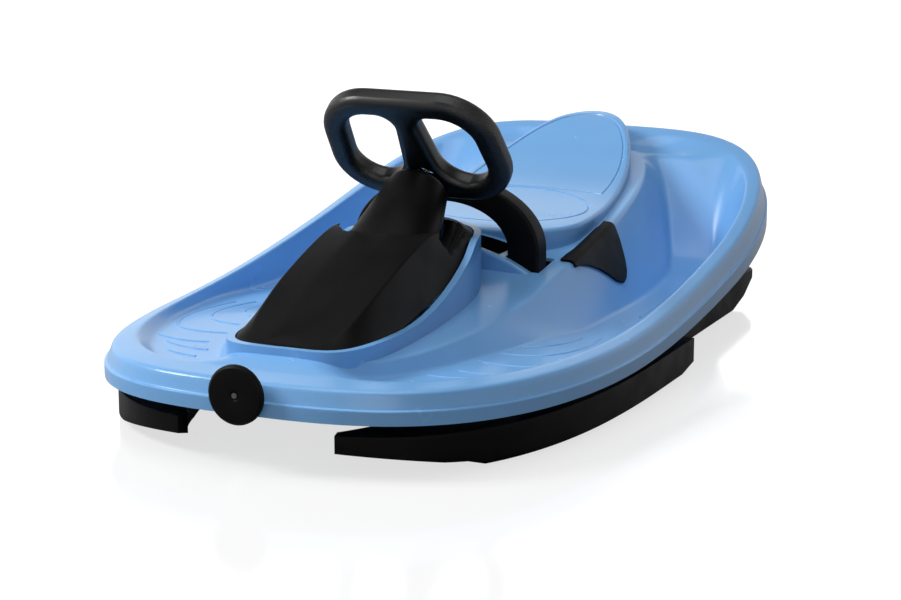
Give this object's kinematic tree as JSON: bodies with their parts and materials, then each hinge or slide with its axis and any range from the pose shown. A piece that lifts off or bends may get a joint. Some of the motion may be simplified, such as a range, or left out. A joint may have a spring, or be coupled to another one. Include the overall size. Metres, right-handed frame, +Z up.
{
  "type": "steering sled",
  "caption": "Moulded child's sled with steered front skis led by a wheel, a sprung brake bail, footwells, a raised seat and a pull knob at the nose.",
  "frame": {"origin": "on the snow, under the middle of the sled's bounding box", "axes": "+Y from the nose to the rear, +X to the rider's left, +Z up"},
  "size_m": [0.619, 1.113, 0.3571],
  "materials": {
    "hull_blue": "gloss",
    "black_plastic": "satin",
    "dark_nylon": "matte",
    "steel": "brushed",
    "brass_insert": "turned",
    "mark_grey": "matte"
  },
  "bodies": {
    "hull": {"hull_shell": "hull_blue", "console_cover": "black_plastic", "column_bush_upper": "dark_nylon", "column_bush_lower": "dark_nylon", "runner_screws": "steel", "axle_block_screws": "steel", "return_spring": "steel", "cord_guide": "dark_nylon", "reel_case": "dark_nylon", "reel_spindle": "steel", "reel_lid": "dark_nylon", "reel_screws": "steel", "kingpin_left": "steel", "kingpin_right": "steel", "kingpin_insert_left": "brass_insert", "kingpin_insert_right": "brass_insert", "thrust_washer_left": "dark_nylon", "thrust_washer_right": "dark_nylon", "rear_runner_left": "black_plastic", "rear_runner_right": "black_plastic", "axle_block_left": "dark_nylon", "axle_block_right": "dark_nylon", "side_grip_left": "black_plastic", "side_grip_right": "black_plastic"},
    "steering": {"steering_wheel": "black_plastic", "wheel_bolt": "steel", "column_fairing": "black_plastic", "steering_shaft": "steel", "shaft_collar": "steel", "steering_crank": "steel"},
    "tie_bar": {"tie_bar": "dark_nylon"},
    "brake": {"brake_bail": "black_plastic", "brake_axle": "steel", "brake_claw_left": "steel", "brake_claw_right": "steel", "axle_clip_left": "steel", "axle_clip_right": "steel"},
    "pull_knob": {"pull_knob": "black_plastic", "knob_mark": "mark_grey"},
    "reel_drum": {"reel_drum": "dark_nylon"},
    "ski_left": {"ski_left": "black_plastic", "ski_sole_left": "black_plastic", "sole_screws_left": "steel", "ski_bush_left": "dark_nylon", "tie_pin_left": "steel"},
    "ski_right": {"ski_right": "black_plastic", "ski_sole_right": "black_plastic", "sole_screws_right": "steel", "ski_bush_right": "dark_nylon", "tie_pin_right": "steel"}
  },
  "joints": [
    {"name": "wheel_turn", "type": "hinge", "parent": "hull", "child": "steering", "pos_m": [0, -0.087, 0.243], "axis": [0, 0.788, 0.6157], "range_deg": [-28, 28]},
    {"name": "ski_left_turn", "type": "hinge", "parent": "hull", "child": "ski_left", "pos_m": [0.225, -0.26, 0.044], "axis": [0, 0, 1], "range_deg": [-11.7, 11.7]},
    {"name": "ski_right_turn", "type": "hinge", "parent": "hull", "child": "ski_right", "pos_m": [-0.225, -0.26, 0.044], "axis": [0, 0, 1], "range_deg": [-11.7, 11.7]},
    {"name": "tie_bar_turn", "type": "hinge", "parent": "ski_left", "child": "tie_bar", "pos_m": [0.225, -0.19, 0.05], "axis": [0, 0, 1], "range_deg": [-11.7, 11.7]},
    {"name": "brake_swing", "type": "hinge", "parent": "hull", "child": "brake", "pos_m": [0, -0.011, 0.106], "axis": [1, 0, 0], "range_deg": [-25, 0], "stiffness_Nm_per_rad": 2, "springref_deg": 20.05},
    {"name": "knob_pull", "type": "slide", "parent": "hull", "child": "pull_knob", "axis": [0, -1, 0], "range_m": [0, 0.06], "stiffness_N_per_m": 40, "springref_m": -0.06},
    {"name": "drum_spin", "type": "hinge", "parent": "hull", "child": "reel_drum", "pos_m": [0, -0.424, 0.08], "axis": [0, 0, 1], "range_deg": [-5, 180]}
  ],
  "couplings": [
    {"joint": "ski_left_turn", "follows": "wheel_turn", "ratio": 0.4},
    {"joint": "ski_right_turn", "follows": "wheel_turn", "ratio": 0.4},
    {"joint": "tie_bar_turn", "follows": "wheel_turn", "ratio": -0.4},
    {"joint": "drum_spin", "follows": "knob_pull", "rad_per_m": 50}
  ]
}
